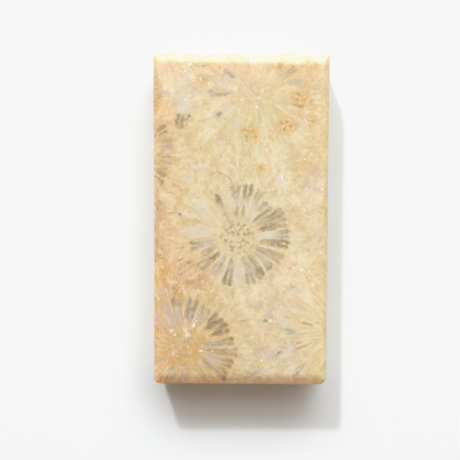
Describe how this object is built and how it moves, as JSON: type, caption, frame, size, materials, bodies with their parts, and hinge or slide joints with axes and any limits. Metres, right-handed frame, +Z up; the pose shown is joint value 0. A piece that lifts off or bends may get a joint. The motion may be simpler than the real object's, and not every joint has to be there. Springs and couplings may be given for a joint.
{
  "type": "fossil coral block",
  "caption": "Thick rectangular block of polished fossil coral with bevelled edges and flower-like coral markings, lying flat on its underside.",
  "frame": {"origin": "middle of the flat underside, on the surface that the block lies on", "axes": "+X across the width, +Y along the length, +Z up through the thickness to the patterned face"},
  "size_m": [0.04, 0.076, 0.012],
  "materials": {
    "fossil_coral": "polished"
  },
  "bodies": {
    "root": {"coral_slab": "fossil_coral"}
  },
  "joints": []
}
